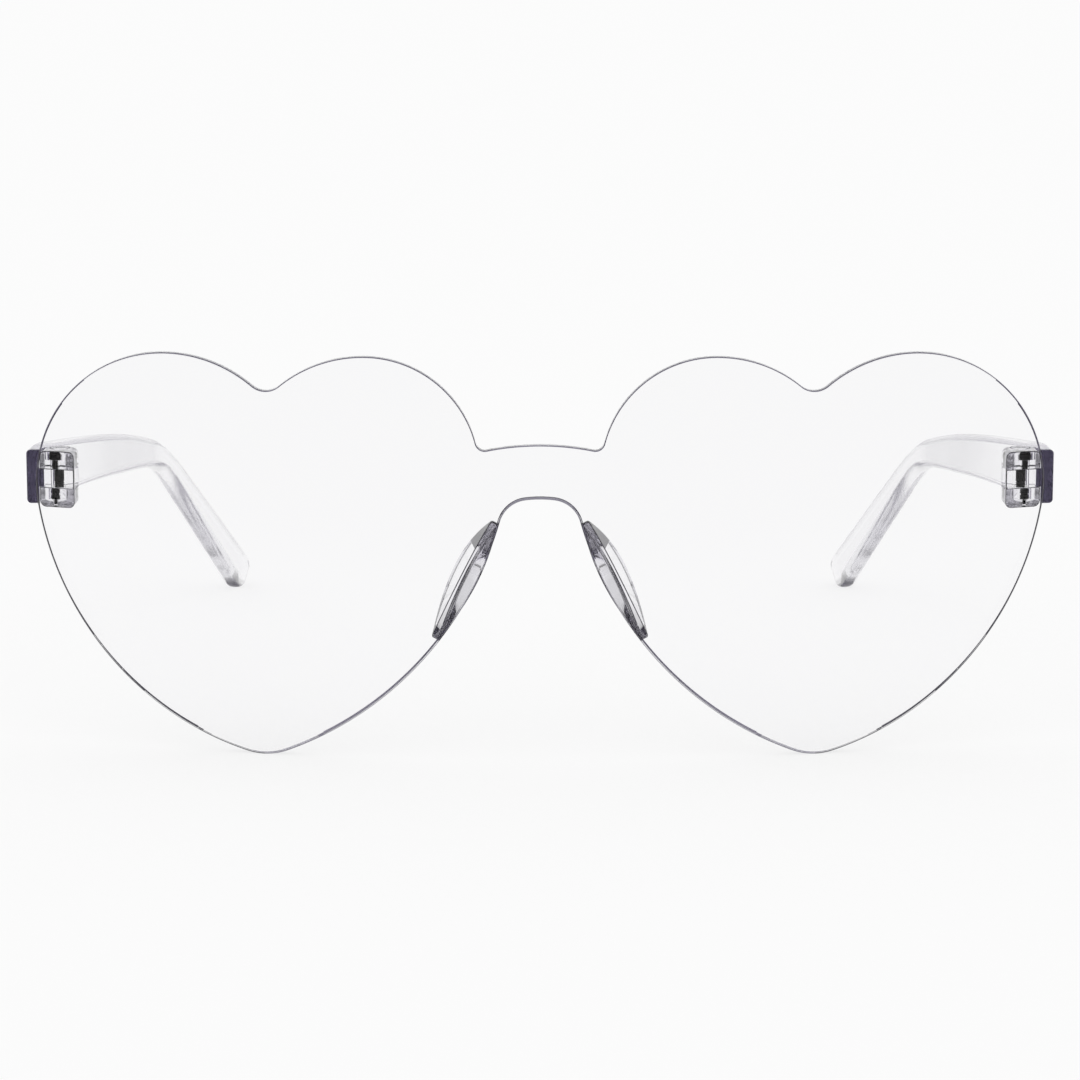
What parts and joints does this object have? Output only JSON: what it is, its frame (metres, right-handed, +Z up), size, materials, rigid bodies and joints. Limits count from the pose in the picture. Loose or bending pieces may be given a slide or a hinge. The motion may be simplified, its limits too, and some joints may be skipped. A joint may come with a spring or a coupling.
{
  "type": "heart shaped glasses",
  "caption": "Rimless heart-shaped glasses: a curved clear one-piece front with clear nose pads, and clear temples that fold on small screw hinges.",
  "frame": {"origin": "on the table, below the middle of the overall width and depth, with the temples open", "axes": "+X to the wearer's left, +Y backwards along the temples, +Z up; the lens faces -Y"},
  "size_m": [0.1484, 0.144, 0.0572],
  "materials": {
    "clear_lens": "clear polished polycarbonate",
    "clear_pads": "clear moulded polycarbonate",
    "clear_hinges": "clear moulded polycarbonate",
    "clear_temples": "clear moulded polycarbonate with a faint violet cast along its length",
    "screw_steel": "blackened turned steel",
    "insert_metal": "dark plated turned metal"
  },
  "bodies": {
    "front": {"lens_front": "clear_lens", "nose_pad_left": "clear_pads", "nose_pad_right": "clear_pads", "hinge_clevis_left": "clear_hinges", "hinge_clevis_right": "clear_hinges", "hinge_screw_left": "screw_steel", "hinge_screw_right": "screw_steel", "threaded_insert_left": "insert_metal", "threaded_insert_right": "insert_metal"},
    "temple_left": {"temple_left": "clear_temples"},
    "temple_right": {"temple_right": "clear_temples"}
  },
  "joints": [
    {"name": "temple_left_fold", "type": "hinge", "parent": "front", "child": "temple_left", "pos_m": [0.06915, -0.05367, 0.03815], "axis": [0, 0, 1], "range_deg": [0, 85]},
    {"name": "temple_right_fold", "type": "hinge", "parent": "front", "child": "temple_right", "pos_m": [-0.06915, -0.05367, 0.03815], "axis": [0, 0, -1], "range_deg": [0, 77]}
  ]
}
